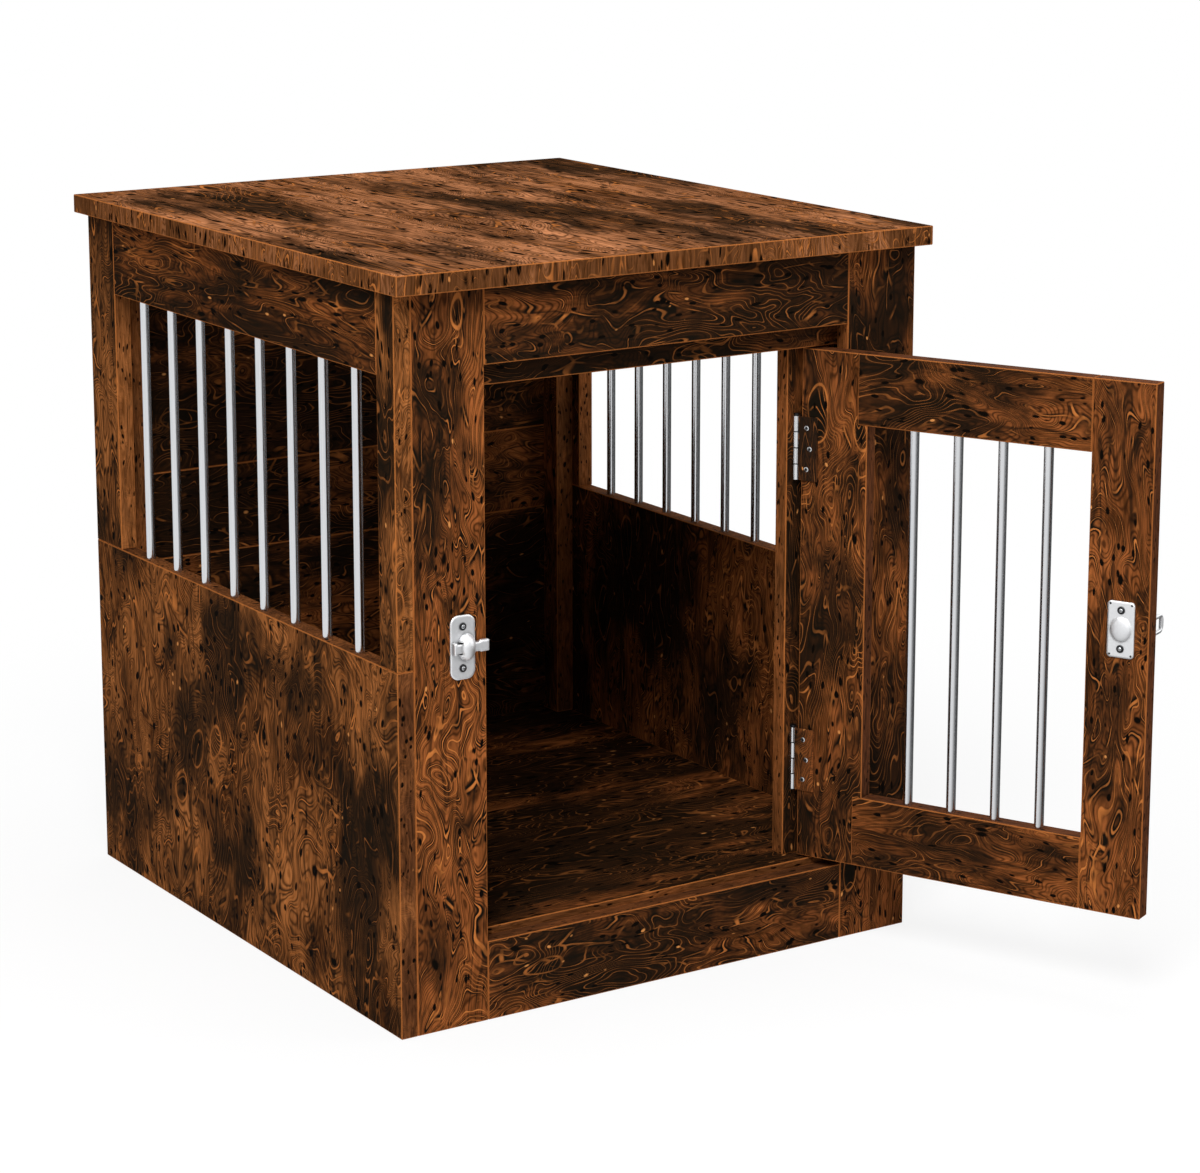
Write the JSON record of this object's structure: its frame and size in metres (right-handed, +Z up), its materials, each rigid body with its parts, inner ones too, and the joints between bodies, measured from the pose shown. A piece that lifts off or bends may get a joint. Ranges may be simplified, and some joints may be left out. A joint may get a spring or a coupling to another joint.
{
  "type": "pet crate",
  "caption": "Pet crate that doubles as an end table: wood-look board cabinet with barred side windows, a barred hinged door and a sliding latch.",
  "frame": {"origin": "on the floor under the middle of the cabinet's footprint", "axes": "+Z up, the doorway faces -Y, +X is to the right seen from in front"},
  "size_m": [0.5746, 0.8229, 0.611],
  "materials": {
    "burl_board": "satin rustic brown burl laminate on board",
    "plain_timber": "plain sawn softwood",
    "dowel_wood": "plain beech dowel",
    "steel_bars": "bright plated steel rod",
    "latch_zinc": "satin nickel plate",
    "hinge_steel": "brown coated steel",
    "screw_steel": "bright zinc plated"
  },
  "bodies": {
    "cabinet": {"back_lower_panel": "burl_board", "back_middle_panel": "burl_board", "back_upper_panel": "burl_board", "door_head_rail": "burl_board", "floor_panel": "burl_board", "floor_support_rail": "plain_timber", "front_bottom_rail": "burl_board", "front_dowels": "dowel_wood", "front_left_post": "burl_board", "front_left_stile": "burl_board", "front_right_post": "burl_board", "front_right_stile": "burl_board", "front_top_rail": "burl_board", "hinge_frame_screws": "screw_steel", "hinge_jamb": "burl_board", "latch_housing": "latch_zinc", "latch_plate": "latch_zinc", "latch_screws": "screw_steel", "left_bars": "steel_bars", "left_front_floor_cleat": "plain_timber", "left_front_stile": "burl_board", "left_rear_floor_cleat": "plain_timber", "left_rear_stile": "burl_board", "left_side_panel": "burl_board", "left_top_cleat": "plain_timber", "left_top_rail": "burl_board", "lower_hinge_frame_leaf": "hinge_steel", "lower_hinge_pin": "screw_steel", "rear_left_post": "burl_board", "rear_right_post": "burl_board", "right_bars": "steel_bars", "right_front_floor_cleat": "plain_timber", "right_front_stile": "burl_board", "right_rear_floor_cleat": "plain_timber", "right_rear_stile": "burl_board", "right_side_panel": "burl_board", "right_top_cleat": "plain_timber", "right_top_rail": "burl_board", "table_top": "burl_board", "top_screws": "screw_steel", "upper_hinge_frame_leaf": "hinge_steel", "upper_hinge_pin": "screw_steel"},
    "door": {"door_bars": "steel_bars", "door_bottom_rail": "burl_board", "door_dowels": "dowel_wood", "door_free_stile": "burl_board", "door_hinge_stile": "burl_board", "door_top_rail": "burl_board", "hinge_door_screws": "screw_steel", "keeper_back_plate": "latch_zinc", "keeper_loop": "latch_zinc", "keeper_screws": "screw_steel", "lower_hinge_door_leaf": "hinge_steel", "upper_hinge_door_leaf": "hinge_steel"},
    "bolt": {"latch_bolt": "latch_zinc"}
  },
  "joints": [
    {"name": "door_swing", "type": "hinge", "parent": "cabinet", "child": "door", "pos_m": [0.151, -0.244, 0.2925], "axis": [0, 0, 1], "range_deg": [-115, 1]},
    {"name": "bolt_slide", "type": "slide", "parent": "cabinet", "child": "bolt", "axis": [1, 0, 0], "range_m": [0, 0.016]}
  ]
}
